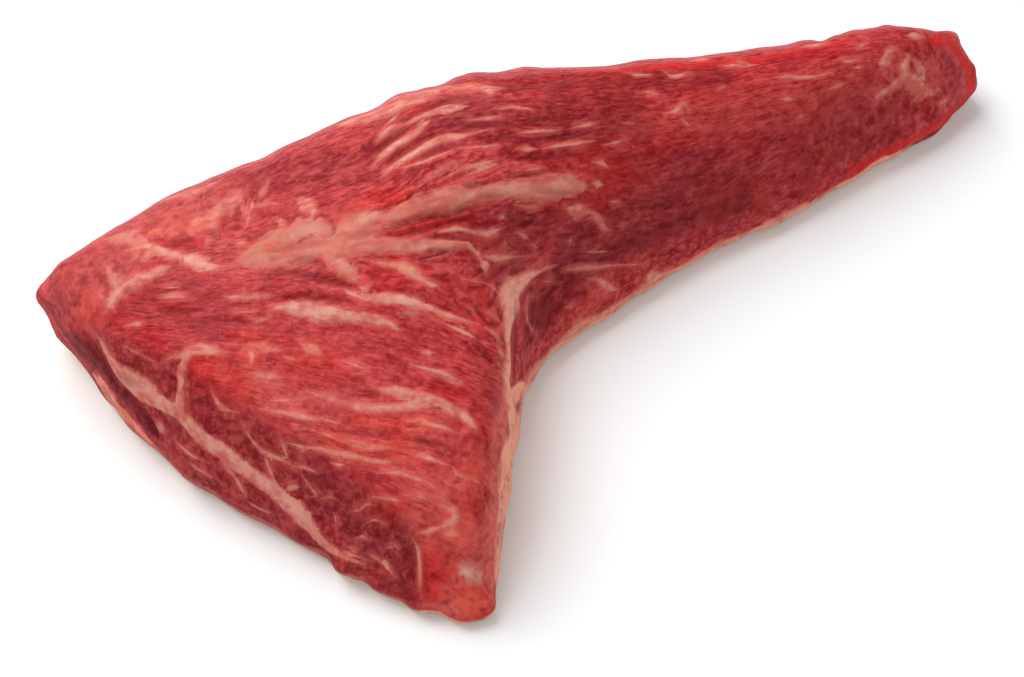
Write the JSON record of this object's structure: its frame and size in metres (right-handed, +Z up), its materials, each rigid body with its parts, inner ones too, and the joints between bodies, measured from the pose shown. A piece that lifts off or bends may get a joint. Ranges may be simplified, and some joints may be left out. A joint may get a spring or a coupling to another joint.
{
  "type": "raw beef tri-tip",
  "caption": "Raw boneless beef tri-tip: a broad, thick muscle with a straight cut face that bends into a long tapering tail and lies on its flat fat side.",
  "frame": {"origin": "on the resting surface, under the middle of the piece's bounding box", "axes": "+X along the longest side, from the broad left corner to the tip of the tail; +Y towards the rounded far side; +Z up, off the resting surface"},
  "size_m": [0.2984, 0.21, 0.0591],
  "materials": {
    "beef": "wet, dark red, with pale fat"
  },
  "bodies": {
    "root": {"tri_tip": "beef"}
  },
  "joints": []
}
